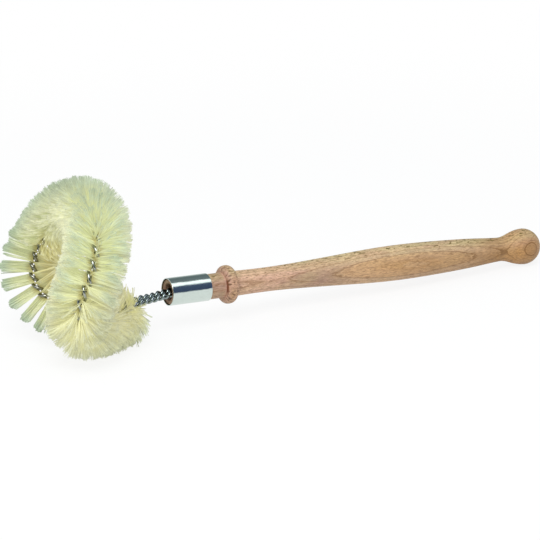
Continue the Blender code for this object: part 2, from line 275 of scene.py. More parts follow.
handle = {
    "noseRecess": 0.8,
    "noseRadius": 8.5,
    "noseEdge": 0.4,
    "socketDepth": 24.0,
    "socketRadius": 5.554,
    "socketChamfer": 0.5,
    "beadCentreAt": 44.3,
    "beadHalfWidth": 4.1,
    "beadRadius": 12.95,
    "beadRoundness": 2.4,
    "gripStartsAt": 50.6,
    "gripLength": 208.0,
    "gripRadius": 12.2,
    "gripAlong": (0.0, 0.06, 0.15, 0.27, 0.40, 0.52, 0.63, 0.73, 0.83, 0.92),
    "gripRadii": (0.692, 0.672, 0.678, 0.754, 0.871, 0.97, 0.998, 0.961, 0.891, 0.793),
    "neckRadius": 8.4,
    "swellLength": 21.2,
    "swellAlong": (0.14, 0.26, 0.363, 0.472, 0.59, 0.708, 0.85, 1.0),
    "swellRadii": (0.0, 0.105, 0.245, 0.43, 0.628, 0.79, 0.93, 1.0),
    "ballRadius": 12.65,
    "poleFlat": 3.4,
    "sides": 96,
    "beadRings": 28,
    "gripRings": 90,
    "swellRings": 24,
    "ballRings": 20,
    "curvePoints": 900,
    "sharpAngle": 32,  # degrees
}


def handleProfile():
    h = SimpleNamespace(**handle)
    points = [
        (h.noseRecess + h.socketDepth, 0),
        (h.noseRecess + h.socketDepth, h.socketRadius),
        (h.noseRecess + h.socketChamfer, h.socketRadius),
        (h.noseRecess, h.socketRadius + h.socketChamfer),
        (h.noseRecess, h.noseRadius - h.noseEdge),
        (h.noseRecess + h.noseEdge, h.noseRadius),
    ]
    gripRoot = h.gripRadius * h.gripRadii[0]
    for ring in range(h.beadRings + 1):
        across = -math.cos(math.pi * ring / h.beadRings)
        base = h.noseRadius if across < 0 else gripRoot
        crown = max(1 - abs(across) ** h.beadRoundness, 0) ** (1 / h.beadRoundness)
        along = h.beadCentreAt + h.beadHalfWidth * across
        points.append((along, base + (h.beadRadius - base) * crown))
    spine = []
    for along, radius in zip(h.gripAlong, h.gripRadii):
        spine.append((h.gripStartsAt + h.gripLength * along, h.gripRadius * radius))
    neckAt = h.gripStartsAt + h.gripLength
    ballAt = neckAt + h.swellLength
    spine.append((neckAt, h.neckRadius))
    for along, radius in zip(h.swellAlong, h.swellRadii):
        swell = h.neckRadius + (h.ballRadius - h.neckRadius) * radius
        spine.append((neckAt + h.swellLength * along, swell))
    curve = smoothThrough(spine, h.curvePoints)
    onGrip = np.linspace(h.gripStartsAt, neckAt, h.gripRings)
    onSwell = np.linspace(neckAt, ballAt, h.swellRings)[1:-1]
    places = np.concatenate([onGrip, onSwell])
    points += list(zip(places.tolist(), np.interp(places, curve[:, 0], curve[:, 1]).tolist()))
    last = math.acos(h.poleFlat / h.ballRadius)
    for ring in range(h.ballRings + 1):
        angle = last * ring / h.ballRings
        points.append((ballAt + h.ballRadius * math.sin(angle), h.ballRadius * math.cos(angle)))
    points.append((ballAt + h.ballRadius * math.sin(last), 0))
    return points


beech = {
    "pale": linear(198, 166, 130),
    "warm": linear(184, 145, 98),
    "pink": linear(194, 150, 134),
    "olive": linear(204, 188, 138),
    "brown": linear(158, 114, 58),
    "oliveStain": linear(108, 90, 30),
    "ringLine": linear(118, 80, 34),
    "ray": linear(122, 86, 50),
    "endGrain": linear(112, 78, 60),
    "pithAway": 44.0,  # millimetres from the handle's axis
    "pithTurn": -8.0,  # degrees about it, so that the face towards the camera is flat-sawn
    "firstRing": 8.49,  # radius at which the first ring comes out of that face
    "ringWidth": 1.79,
    # noise: how fast it changes along, sideways and up, then its detail and roughness
    "drift": ((0.022, 0.06, 0.06), 2.0, 0.5),
    "ragged": ((0.16, 0.5, 0.5), 3.0, 0.6),
    "streak": ((0.20, 1.5, 1.5), 4.0, 0.65),
    "blotch": ((0.035, 0.12, 0.12), 3.0, 0.5),
    # the same for the rays, but along, across and away from the pith
    "rayPlates": ((0.26, 1.5, 0.30), 2.0, 0.6),
    "finerPlates": ((0.5, 2.5, 0.6), 2.0, 0.6),
    "rayFrom": (0.57, 0.64),
    "fineRayFrom": (0.54, 0.65),
    "driftAmount": 0.9,  # millimetres that the rings wander
    "raggedAmount": 0.7,
    "ballCalm": 0.6,
    # within a ring, from 0 to 1: its late wood, its dark edge and its end
    "lateFrom": (0.55, 0.95),
    "edgeFrom": (0.84, 0.95),
    "ringEnds": (0.965, 1.0),
    "wholeRings": 20.0,  # keeps the count of rings above 0
    # in rings from the first one
    "firstLineFrom": (-0.06, 0.04),
    "outerFrom": (0.9, 1.1),
    "innermostFrom": (1.4, 1.6),
    "ballGap": ((0.3, 0.5), (1.2, 1.5)),  # where the ball shows no line
    "eyeFrom": (1.84, 1.92),
    # from -1 underneath to 1 on the top edge
    "undersideEnds": (-0.3, 0.6),
    "topEdgeFrom": (0.35, 0.95),
    "stainFrom": (0.70, 0.88),
    # in millimetres from the ferrule's mouth
    "endGrainEnds": (1.0, 6.0),
    "noseShadeEnds": (36.0, 42.0),
    "behindBead": ((47.0, 54.0), (80.0, 104.0)),
    "redEnds": (60.0, 150.0),
    "shadeBand": ((66.0, 98.0), (112.0, 145.0)),
    "rightFrom": (110.0, 250.0),
    "paleBand": ((118.0, 140.0), (165.0, 195.0)),
    "brownFrom": (215.0, 258.0),
    "neckBand": ((256.0, 266.0), (270.0, 280.0)),
    "ballFrom": (262.0, 272.0),
    "brownEases": (268.0, 282.0),
    "pinkPatches": ((100.0, -9.0, -1.0, 16.0), (281.0, -11.0, 2.0, 13.0)),  # along, sideways, up, size
    "patchSquash": 0.6,
    "patchCore": 0.3,
    "patchAmount": 0.7,
    # how strong each colour is
    "outerWarmth": 0.75,
    "lateWarmth": 0.25,
    "pinkFrom": (0.30, 0.66),
    "pinkLeast": 0.12,
    "pinkMore": 0.5,
    "oliveStreak": 0.3,
    "oliveFrom": (0.45, 0.8),
    "oliveAmount": 0.8,
    "oliveLess": 0.55,
    "brownAmount": 0.52,
    "brownLess": 0.20,
    "brownUnderneath": 0.30,
    "eyeBrown": 0.3,
    "endGrainAmount": 0.55,
    "rayAmount": 0.55,
    "fineRayAmount": 0.5,
    "stainAmount": 0.9,
    "lateLine": 0.12,
    "edgeLine": 0.42,
    "rightLine": 0.35,
    "eyeLine": 0.4,
    "innermostLess": 0.9,
    # how much darker or lighter
    "bandShade": 0.17,
    "noseShade": 0.21,
    "lineShade": 0.10,
    "beadLight": 0.12,
    "bandLight": 0.10,
    "neckLight": 0.20,
    "streakFrom": (0.32, 0.68),
    "streakDarkest": 0.78,
    "streakLight": 0.42,
    "roughness": 0.58,
    "streakRoughness": 0.2,
    "streakHeight": 0.5,
    "rayHeight": 0.3,
    "fineRayHeight": 0.2,
    "bump": (0.3, 0.1 * mm),
    # the marks on the bead
    "crack": linear(98, 66, 40),
    "groove": linear(118, 62, 34),
    "patch": ((0.12, 0.16, 0.16), 2.0, 0.5),
    "torn": ((0.30, 6.5, 4.0), 2.0, 0.6),  # along and around
    "tornFrom": (0.48, 0.6),
    # in millimetres from the bead's front edge
    "besideGroove": ((-2.2, 0.0), (0.6, 2.6)),
    "inGroove": ((-0.5, 0.0), (0.1, 0.5)),
    "onFront": ((-0.2, 0.3), (3.4, 5.0)),
    # and from its back edge
    "inBack": ((-1.0, -0.2), (0.2, 1.0)),
    "row": ((-2.9, -2.4), (-1.9, -1.4)),
    # in radians about the handle, upwards from the side towards the camera
    "darkPart": ((-0.5, -0.1), (0.55, 0.75)),
    "pinkPart": ((0.7, 0.9), (1.4, 1.7)),
    "pinkPatchFrom": (0.35, 0.6),
    "pinkPatchAmount": 0.5,
    "pinkPartAmount": 0.4,
    "darkAmount": 0.75,
    "grooveAmount": 0.15,
    "backAmount": 0.28,
    "frontPatchFrom": (0.36, 0.54),
    "frontAmount": 0.85,
}


def beechFinish():
    b = SimpleNamespace(**beech)
    finish = Finish(bpy.data.materials.new("beech wood"))
    step, band, mix = finish.step, finish.band, finish.mix
    point = finish.handlePoint()
    along, side, up = finish.split(point)
    turn = math.radians(b.pithTurn)
    pithSide, pithUp = b.pithAway * math.cos(turn), b.pithAway * math.sin(turn)
    radius = (side * side + up * up) ** 0.5
    away = ((side - pithSide) ** 2 + (up - pithUp) ** 2) ** 0.5
    across = up * math.cos(turn) - side * math.sin(turn)
    facing = across / radius

    # growth rings round a pith outside the blank, so that the swelling grip cuts long ovals
    drift = finish.pattern(point, *b.drift)
    ragged = finish.pattern(point, *b.ragged)
    onBall = step(along, *b.ballFrom)
    wander = (drift - 0.5) * b.driftAmount + (ragged - 0.5) * b.raggedAmount
    wander = wander * (1 - onBall * b.ballCalm)
    rings = (away - (b.pithAway + b.firstRing) + wander) / b.ringWidth
    phase = finish.node("ShaderNodeMath", {"operation": "FRACT"}, {0: rings + b.wholeRings})
    late = band(phase, b.lateFrom, b.ringEnds)
    edge = band(phase, b.edgeFrom, b.ringEnds)
    outer = step(rings, *b.outerFrom)
    innermost = step(rings, *b.innermostFrom)

    # rays: thin plates that point at the pith, short lines on the flat-sawn face and dashes beside it
    plates = finish.join(along, across, away)
    rays = step(finish.pattern(plates, *b.rayPlates), *b.rayFrom)
    fineRays = step(finish.pattern(plates, *b.finerPlates), *b.fineRayFrom)
    streak = finish.pattern(point, *b.streak)
    blotch = finish.pattern(point, *b.blotch)

    # the ground: pink towards the bead, olive on the top edge, partly the wood's tone and partly painted
    # light from above, and brown towards the ball
    redder = 1 - step(along, *b.redEnds)
    squash = b.patchSquash
    for alongAt, sideAt, upAt, size in b.pinkPatches:
        reach = finish.distance(finish.stretched(point, (squash, 1, 1)), (alongAt * squash, sideAt, upAt))
        redder = redder + (1 - step(reach, size * b.patchCore, size)) * b.patchAmount
    ground = mix(outer * b.outerWarmth + late * b.lateWarmth, b.pale, b.warm)
    pink = step(blotch, *b.pinkFrom) * (b.pinkLeast + redder * b.pinkMore)
    ground = mix(pink, ground, b.pink)
    behindBead = band(along, *b.behindBead)
    # partly the wood's own olive tone, partly painted light on the top edge
    olive = step(facing, *b.topEdgeFrom) * step(blotch + streak * b.oliveStreak, *b.oliveFrom)
    ground = mix(olive * (b.oliveAmount - behindBead * b.oliveLess), ground, b.olive)
    toRight = step(along, *b.rightFrom)
    underneath = 1 - step(facing, *b.undersideEnds)
    brown = step(along, *b.brownFrom) * (b.brownAmount - step(along, *b.brownEases) * b.brownLess)
    # painted shade: the underside is browner towards the ball
    brown = brown + toRight * underneath * b.brownUnderneath
    ground = mix(brown, ground, b.brown)
    shade = band(along, *b.shadeBand) * underneath * b.bandShade
    shade = shade + (1 - step(along, *b.noseShadeEnds)) * b.noseShade
    shade = shade + step(rings, *b.firstLineFrom) * (1 - outer) * (1 - toRight) * b.lineShade
    light = behindBead * b.beadLight + band(along, *b.paleBand) * b.bandLight
    light = light + band(along, *b.neckBand) * b.neckLight
    brightness = b.streakDarkest + step(streak, *b.streakFrom) * b.streakLight
    ground = finish.scaleColour(ground, brightness * (1 - shade + light))

    # the lines of the rings and rays
    stronger = 1 + toRight * b.rightLine + onBall * innermost * b.eyeLine
    stronger = stronger - innermost * (1 - onBall) * b.innermostLess
    lines = (late * b.lateLine + edge * b.edgeLine) * stronger
    lines = lines * (1 - onBall * band(rings, *b.ballGap))
    ground = mix(onBall * step(rings, *b.eyeFrom) * b.eyeBrown, ground, b.brown)
    ground = mix(lines, ground, b.ringLine)
    ground = mix(rays * b.rayAmount, ground, b.ray)
    ground = mix(fineRays * b.fineRayAmount, ground, b.ray)
    ground = mix(rays * step(facing, *b.stainFrom) * b.stainAmount, ground, b.oliveStain)
    ground = markBead(finish, ground, point, along, side, up)
    # the nose face's end grain is darker, and the same darkening runs a few millimetres into the socket as
    # painted shade
    ground = mix((1 - step(along, *b.endGrainEnds)) * b.endGrainAmount, ground, b.endGrain)

    height = streak * b.streakHeight + (1 - rays) * b.rayHeight + (1 - fineRays) * b.fineRayHeight
    finish.paint(Base_Color=ground, Roughness=b.roughness + (streak - 0.5) * b.streakRoughness,
                 Normal=finish.bump(height, *b.bump))
    return finish


def markBead(finish, ground, point, along, side, up):
    # a groove at the bead's front edge, darker all round and most on the side towards the camera, a darker
    # line at its back edge, torn end grain on the bead's front and a row of marks behind its crown
    b = SimpleNamespace(**beech)
    step, band = finish.step, finish.band
    fromFront = along - (handle["beadCentreAt"] - handle["beadHalfWidth"])
    fromBack = along - (handle["beadCentreAt"] + handle["beadHalfWidth"])
    around = finish.angle(up, side * -1.0)
    torn = finish.pattern(finish.join(along, around, 1.0), *b.torn)
    patch = finish.pattern(point, *b.patch)
    beside = step(patch, *b.pinkPatchFrom) * b.pinkPatchAmount
    beside = beside + band(around, *b.pinkPart) * b.pinkPartAmount
    ground = finish.mix(band(fromFront, *b.besideGroove) * beside, ground, b.pink)
    dark = band(around, *b.darkPart) * b.darkAmount + b.grooveAmount
    groove = band(fromFront, *b.inGroove) * dark + band(fromBack, *b.inBack) * b.backAmount
    ground = finish.mix(groove, ground, b.groove)
    onFront = band(fromFront, *b.onFront) * step(patch, *b.frontPatchFrom) * b.frontAmount
    marks = step(torn, *b.tornFrom) * (onFront + band(fromBack, *b.row))
    return finish.mix(marks, ground, b.crack)


handleMesh = turnProfile("handleTurned", handleProfile(), handle["sides"], handle["sharpAngle"])
finishPiece("handleTurned", handleMesh, beechFinish(), "beech", "handle")
print("handle turned")


# ferrule

ferrule = {
    "length": 29.0,
    "radius": 9.3,
    "wall": 0.5,
    "rim": 0.16,
    "sides": 128,
    "rings": 24,
    "firstRing": 0.6,  # millimetres from each end
    "sharpAngle": 60,  # degrees
    "colour": (0.62, 0.70, 0.655),
    "roughness": 0.15,
    "cloud": ((0.25, 0.5, 0.5), 4.0, 0.65),
    "scratch": ((0.35, 9.0, 9.0), 3.0, 0.7),
    "waves": ((0.16, 0.3, 0.3), 2.0, 0.5),
    "darkest": 0.90,
    "cloudLight": 0.2,
    "cloudRoughness": 0.10,
    "waveHeight": 0.8,
    "scratchHeight": 0.06,
    "bump": (0.25, 0.5 * mm),
}


def ferruleProfile():
    f = SimpleNamespace(**ferrule)
    inner, outer, rim, end = f.radius - f.wall, f.radius, f.rim, f.length
    turn = math.radians(45)
    rounded = (rim * (1 - math.cos(turn)), outer - rim * (1 - math.sin(turn)))
    mouth = [(0, inner), (0, outer - rim), rounded, (rim, outer)]
    places = np.linspace(f.firstRing, end - f.firstRing, f.rings)
    wall = [(along, outer) for along in places.tolist()]
    return mouth + wall + [(end - along, radius) for along, radius in reversed(mouth)]


def platedFinish():
    f = SimpleNamespace(**ferrule)
    finish = Finish(bpy.data.materials.new("plated steel"))
    point = finish.handlePoint()
    cloud = finish.pattern(point, *f.cloud)
    height = finish.pattern(point, *f.waves) * f.waveHeight
    height = height + finish.pattern(point, *f.scratch) * f.scratchHeight
    finish.paint(Base_Color=finish.scaleColour(f.colour, f.darkest + cloud * f.cloudLight),
                 Metallic=1.0, Roughness=f.roughness + (cloud - 0.5) * f.cloudRoughness,
                 Normal=finish.bump(height, *f.bump))
    return finish


ferruleMesh = turnProfile("ferruleTube", ferruleProfile(), ferrule["sides"], ferrule["sharpAngle"])
finishPiece("ferruleTube", ferruleMesh, platedFinish(), "plated_steel", "ferrule")
print("ferrule turned")


# wires

wire = {
    "diameter": 2.2,
    "stemPitch": 8.4,
    "headTurns": 19.5,
    "nearSidePitchShare": 1.32,
    "layTurnAtBranch": 0.333,
    "legShown": 21.0,
    "legDroop": 3.6,
    "layChange": 7.0,
    "sideChange": 90.0,
    "legEndClearance": 2.0,
    "stemLayRadius": 1.35299,
    "headLayRadius": 2.00243,
    "legSide": 2.65299,  # leaves 0.4 mm between the two legs
    "firstTuft": 4.3,
    "pathStep": 0.25,
    "pointsPerTurn": 20,
    "bevelSteps": 3,
    # the wire in the head is painted lighter than on the stem, a painted reflection of the bristles round
    # it
    "colour": (0.42, 0.44, 0.43),
    "stemColour": (0.30, 0.36, 0.37),
    "farColour": (0.23, 0.22, 0.17),
    "stemFrom": (-0.124, -0.116),  # metres in the frame
    "farFrom": (0.004, 0.016),
    "farAmount": 0.7,
    "cloud": (900.0, 3.0, 0.6),
    "spot": (2600.0, 2.0, 0.6),
    "darkest": 0.78,
    "cloudLight": 0.34,
    "roughness": 0.15,
    "cloudRoughness": 0.10,
    "bump": (0.15, 0.06 * mm),
}
ring = {
    "reach": 59.2,
    "halfWidth": 38.5,
    "height": 62.4,
    "forward": (0.29, 0.57, 0.85, 0.99, 0.975, 0.86, 0.76, 0.66),
    "sideways": (0.105, 0.335, 0.66, 0.852, 1.0, 0.927, 0.745, 0.345),
    "up": (-0.16, -0.166, -0.092, 0.061, 0.335, 0.583, 0.806, 0.952),
    "topForward": 0.65,
    "legAlong": (0.3, 0.6, 0.9),
    "legSides": (1.0, 1.0, 1.12),
    "legDroops": (0.55, 0.8, 0.98),
    "mouthDroop": 0.25,
}


def ringPoints():
    # the middle of the wire pair, up one leg, round the ring and down the other
    legEnd = handle["noseRecess"] + handle["socketDepth"] - wire["legEndClearance"]
    side, droop = wire["legSide"], wire["legDroop"]
    half = [(legEnd, side, 0), (legEnd / 2, side, 0), (0, side, -droop * ring["mouthDroop"])]
    for forward, sideways, down in zip(ring["legAlong"], ring["legSides"], ring["legDroops"]):
        half.append((-wire["legShown"] * forward, side * sideways, -droop * down))
    for forward, sideways, up in zip(ring["forward"], ring["sideways"], ring["up"]):
        x = -wire["legShown"] - ring["reach"] * forward
        half.append((x, ring["halfWidth"] * sideways, ring["height"] * up))
    top = (-wire["legShown"] - ring["reach"] * ring["topForward"], 0, ring["height"])
    return half + [top] + [(x, -y, z) for x, y, z in reversed(half)]


class WirePath:
    # the centreline, its tangents, two normals that do not roll, and the lay, in millimetres
    def __init__(self):
        route = ringPoints()
        count = int(sum(math.dist(a, b) for a, b in zip(route, route[1:])) / wire["pathStep"])
        self.points = smoothThrough(route, count)
        self.along = runningSum(np.linalg.norm(np.diff(self.points, axis=0), axis=1))
        self.tangents = unit(np.gradient(self.points, axis=0))
        normal = np.array((0.0, 0.0, 1.0))
        normals = []
        for tangent in self.tangents:
            normal = normal - tangent * normal.dot(tangent)
            normal /= np.linalg.norm(normal)
            normals.append(normal)
        self.normals = np.array(normals)
        self.sides = np.cross(self.tangents, self.normals)
        self.length = self.along[-1]
        front = np.argmax(self.points[:, 0] < -wire["legShown"])
        self.headStart = self.along[front] + wire["firstTuft"]
        self.headEnd = self.length - self.headStart
        self.setLay()

    def setLay(self):
        intoHead = (self.along - self.headStart) / wire["layChange"] + 0.5
        outOfHead = (self.headEnd - self.along) / wire["layChange"] + 0.5
        openShare = ease(np.clip(np.minimum(intoHead, outOfHead), 0, 1))
        nearShare = np.clip((self.along - self.length / 2) / wire["sideChange"] + 0.5, 0, 1)
        legs = self.summed((1 - openShare) / wire["stemPitch"])
        head = self.summed(openShare * (1 - nearShare + nearShare / wire["nearSidePitchShare"]))
        ends = np.array((self.headStart, self.headEnd))
        legTurns = np.ptp(np.interp(ends, self.along, legs))
        headTurns = np.ptp(np.interp(ends, self.along, head))
        turns = legs + head * (wire["headTurns"] - legTurns) / headTurns
        self.turns = turns - np.interp(self.headStart, self.along, turns) + wire["layTurnAtBranch"]
        change = wire["headLayRadius"] - wire["stemLayRadius"]
        self.layRadius = wire["stemLayRadius"] + change * openShare

    def summed(self, rate):
        return runningSum(np.diff(self.along) * (rate[1:] + rate[:-1]) / 2)

    def at(self, values, distance):
        if values.ndim == 1:
            return np.interp(distance, self.along, values)
        return np.stack([np.interp(distance, self.along, row) for row in values.T], -1)

    def frames(self, distances):
        # for each distance: the centre, the way along, the way to the first wire and to the tips
        point = self.at(self.points, distances)
        tangent = self.at(self.tangents, distances)
        angle = -math.tau * self.at(self.turns, distances)[:, None]
        normal = self.at(self.normals, distances)
        side = self.at(self.sides, distances)
        toWire = normal * np.cos(angle) + side * np.sin(angle)
        toTips = side * np.cos(angle) - normal * np.sin(angle)
        return point, unit(tangent), unit(toWire), unit(toTips)


path = WirePath()
print(f"wire path {path.length:.1f} mm")


def galvanisedFinish():
    w = SimpleNamespace(**wire)
    finish = Finish(bpy.data.materials.new("galvanised wire"))
    place = finish.framePoint()
    cloud = finish.noise(place, *w.cloud)
    x, side, _ = finish.split(place)
    # painted shade: the wire is darker and browner on the ring's far side
    colour = finish.mix(finish.step(side, *w.farFrom) * w.farAmount, w.colour, w.farColour)
    # painted reflection: the wire is lighter in the head than on the stem
    colour = finish.mix(1 - finish.step(x, *w.stemFrom), w.stemColour, colour)
    colour = finish.scaleColour(colour, w.darkest + cloud * w.cloudLight)
    finish.paint(Base_Color=colour, Metallic=1.0,
                 Roughness=w.roughness + (cloud - 0.5) * w.cloudRoughness,
                 Normal=finish.bump(finish.noise(place, *w.spot), *w.bump))
    return finish


def layWire(name, sign, finish, node):
    count = round((path.turns[-1] - path.turns[0]) * wire["pointsPerTurn"])
    turns = np.linspace(path.turns[0], path.turns[-1], count + 1)
    distances = np.interp(turns, path.turns, path.along)
    point, _, toWire, _ = path.frames(distances)
    run = point + sign * toWire * path.at(path.layRadius, distances)[:, None]
    curve = bpy.data.curves.new(name, "CURVE")
    curve.dimensions = "3D"
    curve.bevel_depth = wire["diameter"] / 2 * mm
    curve.bevel_resolution = wire["bevelSteps"]
    curve.use_fill_caps = True
    spline = curve.splines.new("POLY")
    spline.points.add(len(run) - 1)
    for spot, place in zip(spline.points, run):
        spot.co = (*(lieMatrix @ Vector(place * mm)), 1)
    spline.use_smooth = True
    finishPiece(name, curve, finish, "galvanised_wire", node)


galvanised = galvanisedFinish()
layWire("wireFirst", 1, galvanised, "wire_a")
layWire("wireSecond", -1, galvanised, "wire_b")
print("wires laid")


# bristles

bristle = {
    "reach": 21.9,
    "coreHalfWidth": 1.5,
    "coreThickness": 0.9,
    "locksPerSide": 9,
    "clumpsPerSide": 108,
    "bristlesPerClump": 5,
    "rootWidth": 0.32,
    "tipShare": 0.8,
    # stretches whose half turns draw together: the first and last half turn, where in a half
    # turn its bristles meet, what is left of each one's own way, how far they run parallel,
    # and how loosely
    "drawnStretches": (
        (0.0, 18.5, 0.72, 0.42, 0.0, 1.0),
        (8.5, 13.5, 0.70, 0.10, 1.35, 0.30),
        (25.0, 31.0, 0.33, 0.50, 0.0, 1.3),
        (35.5, 39.0, 0.98, 0.35, 0.0, 1.0),
    ),
    "drawnFade": 2.0,
    "innerDrawShare": 0.5,  # how much of this the bristles inside the ring follow
    # half turns where strays hide the wires
    "coveredStretches": ((14.0, 18.0), (20.0, 25.0), (38.0, 38.0)),
    "coveredStrayShare": 0.85,
    "coveredStrayTwist": 58.0,
    # the half turns next to the stem: how far the clumps that point up lean over it, the share
    # of them that is left out, how long most of the others are, and between which two ways those
    # that point down fan out, each with its length
    "endLean": 16.0,
    "endThinning": 0.25,
    "endShort": (0.28, 0.62),
    "endLongShare": 0.04,
    "endLongLength": 0.7,
    "endLongBristles": 2,  # that are left of such a clump
    "endLowLean": (-24.0, 34.0),
    "endLowShare": (1.10, 0.64),
    "lowFrom": 29,  # the first half turn of the near side's lower half
    "lockJitter": 0.25,
    "spotSpread": 0.012,
    "lockPull": 0.5,
    "lowLockPull": 0.9,
    "lockLean": 2.0,  # degrees along the wire
    "lockTwist": 4.0,  # degrees about it
    "clumpLean": 2.0,
    "clumpTwist": 6.0,
    "strayShare": 0.34,  # of the clumps, which fill the space between two half turns
    "strayLean": 5.0,
    "strayTwist": 32.0,
    "ownLean": 0.8,
    "ownTwist": 1.4,
    "lockLength": 0.35,
    "clumpLength": 0.22,
    "lowUnevenness": 2.2,
    "ownLength": 0.18,
    "lockTone": 0.06,
    "clumpTone": 0.30,
    "ownTone": 0.55,
    "darkShare": 0.12,  # of the clumps
    "lowDarkShare": 0.16,
    "coveredDarkShare": 0.03,
    "darker": 0.5,
    "leastDarker": 0.3,  # a share of that
    "shortOnes": 0.05,
    "shortBy": 3.0,
    "leastShorter": 0.3,
    "shortest": 2.0,
    "clumpCurl": 0.7,
    "ownCurl": 0.25,
    "steps": (0.3, 0.65, 1.0),
    "tuftGap": 0.3,
    "midClearance": 0.4,
    "floorClearance": 0.12,
    "ringMiddle": (-0.153, 0.0, 0.059),  # metres in the frame
    "crossway": (0.31, 0.87, 0.38),  # a way that no bristle follows
    "seed": 4100,
    "root": linear(194, 188, 128),
    "body": linear(222, 226, 186),
    "bodyTan": linear(222, 214, 176),
    "inner": linear(206, 197, 138),  # painted shade on the far side's bristles inside the ring
    "stemBody": linear(204, 204, 136),
    "innerTip": linear(230, 230, 202),
    "tip": linear(194, 207, 182),
    "lowTip": linear(212, 208, 176),
    "cutEnd": linear(165, 176, 158),
    # metres in the frame, or from the ring's middle
    "farFrom": (0.002, 0.014),
    "lowUntil": (0.03, 0.085),
    "insideUntil": (0.036, 0.043),
    "insideTop": (0.060, 0.090),
    "stemFrom": (-0.132, -0.120),
    "stemHeights": ((0.024, 0.034), (0.048, 0.056)),
    "outerTipFrom": (0.042, 0.060),
    "lowTipEases": (-0.130, -0.108),
    "rightFrom": (-0.150, -0.128),
    "leftUntil": (-0.180, -0.164),
    "topFrom": (0.101, 0.114),
    "patch": (22.0, 2.0, 0.5),
    "patchFrom": (0.38, 0.68),
    # from a bristle's root, 0, to its tip, 1
    "rootEnds": (0.0, 0.26),
    "tipFrom": (0.5, 1.0),
    "cutFrom": (0.955, 1.0),
    # how strong each colour is
    "lowTan": 0.42,
    "patchTan": 0.12,
    "innerAmount": 0.85,
    "stemAmount": 0.8,
    "lowTipAmount": 0.7,
    "lowTipLess": 0.4,
    "insideTipLess": 0.7,
    "stemTipLess": 0.3,
    "cutAmount": 0.25,
    # how much darker or lighter
    "farShade": 0.08,
    "rightShade": 0.13,
    "topShade": 0.10,
    "lowLight": 0.02,
    "leftLight": 0.06,
    "darkest": 0.75,
    "toneLight": 0.54,
    "roughness": 0.5,
    "toneRoughness": 0.1,
    "glow": 0.28,  # painted glow: emission in place of light that has passed through the neighbouring bristles
    "solidShare": 0.86,
}
tuftCount = int(wire["headTurns"] * 2)  # one for each half turn


def bristleFinish():
    b = SimpleNamespace(**bristle)
    finish = Finish(bpy.data.materials.new("bristle"))
    step, mix = finish.step, finish.mix
    along = finish.node("ShaderNodeAttribute", {"attribute_name": "alongBristle"}, None, "Fac")
    tone = finish.node("ShaderNodeAttribute", {"attribute_name": "tone"}, None, "Fac")
    place = finish.framePoint()
    x, side, height = finish.split(place)
    fromMiddle = finish.distance(place, b.ringMiddle)
    far = step(side, *b.farFrom)
    low = (1 - step(height, *b.lowUntil)) * (1 - far)
    inside = far * (1 - step(fromMiddle, *b.insideUntil)) * (1 - step(height, *b.insideTop))
    atStem = step(x, *b.stemFrom) * finish.band(height, *b.stemHeights)
    patch = step(finish.noise(place, *b.patch), *b.patchFrom)
    body = mix(low * b.lowTan + patch * b.patchTan, b.body, b.bodyTan)
    # painted shade: the far side's bristles inside the ring are darker and yellower
    body = mix(inside * b.innerAmount, body, b.inner)
    body = mix(atStem * b.stemAmount, body, b.stemBody)
    # partly the tips' own colour, partly painted light near the ring's middle and painted shade at the
    # outline
    tip = mix(step(fromMiddle, *b.outerTipFrom), b.innerTip, b.tip)
    lowTip = low * (b.lowTipAmount - step(x, *b.lowTipEases) * b.lowTipLess)
    tip = mix(lowTip, tip, b.lowTip)
    # the roots are darker and yellower, partly the bristles' own colour and partly painted shade deep in
    # the tuft by the wires
    colour = mix(step(along, *b.rootEnds), b.root, body)
    tipShare = 1 - inside * b.insideTipLess - atStem * b.stemTipLess
    colour = mix(step(along, *b.tipFrom) * tipShare, colour, tip)
    colour = mix(step(along, *b.cutFrom) * b.cutAmount, colour, b.cutEnd)
    shade = far * (1 - inside) * b.farShade
    shade = shade + step(x, *b.rightFrom) * (1 - far) * (1 - low) * b.rightShade
    shade = shade + step(height, *b.topFrom) * b.topShade - low * b.lowLight
    shade = shade - (1 - step(x, *b.leftUntil)) * low * b.leftLight
    colour = finish.scaleColour(colour, (b.darkest + tone * b.toneLight) * (1 - shade))
    # a painted glow: the bristles emit their own colour, in place of light passing through them, and the
    # rest is left to the lamps
    finish.paint(Base_Color=finish.scaleColour(colour, b.solidShare), Emission_Color=colour,
                 Emission_Strength=b.glow, Roughness=b.roughness + tone * b.toneRoughness)
    finish.owner.cycles.emission_sampling = "NONE"
    return finish


def lean(ways, tangents, across, leanAngles, twistAngles):
    # turns each way towards the tangent by one angle and about the tangent by the other
    leanTan = np.tan(np.radians(leanAngles))[:, None]
    twistTan = np.tan(np.radians(twistAngles))[:, None]
    return unit(ways + tangents * leanTan + across * twistTan)


def amountInside(halfTurns, first, last):
    # 1 in a stretch, fading to 0 outside it
    outside = np.maximum(np.maximum(first - halfTurns, halfTurns - last), 0)
    return ease(np.clip(1 - outside / bristle["drawnFade"], 0, 1))


def drawTogether(distances, point, tangent, toTips):
    # in some stretches the bristles of a half turn lean towards the one at its middle
    halfTurns = (path.at(path.turns, distances) - wire["layTurnAtBranch"]) * 2
    middle = (lieMatrix.inverted() @ Vector(bristle["ringMiddle"])) / mm
    inward = (toTips * (np.array(middle) - point)).sum(1) > 0
    easing = np.where(inward, bristle["innerDrawShare"], 1)[:, None]
    ways, loose = toTips, 1.0
    for first, last, meetShare, ownShare, parallelShare, looseness in bristle["drawnStretches"]:
        inside = amountInside(halfTurns, first, last)
        loose = loose * (1 - inside * (1 - looseness))
        amount = (1 - ownShare) * inside[:, None] * easing
        meet = (np.round(halfTurns - meetShare) + meetShare) / 2 + wire["layTurnAtBranch"]
        drawn = path.frames(np.interp(meet, path.turns, path.along))[3]
        drawn *= np.sign((drawn * toTips).sum(1))[:, None]
        drawn -= tangent * (drawn * tangent).sum(1)[:, None] * (1 - parallelShare)
        ways = ways * (1 - amount) + drawn * amount
    return unit(ways), loose


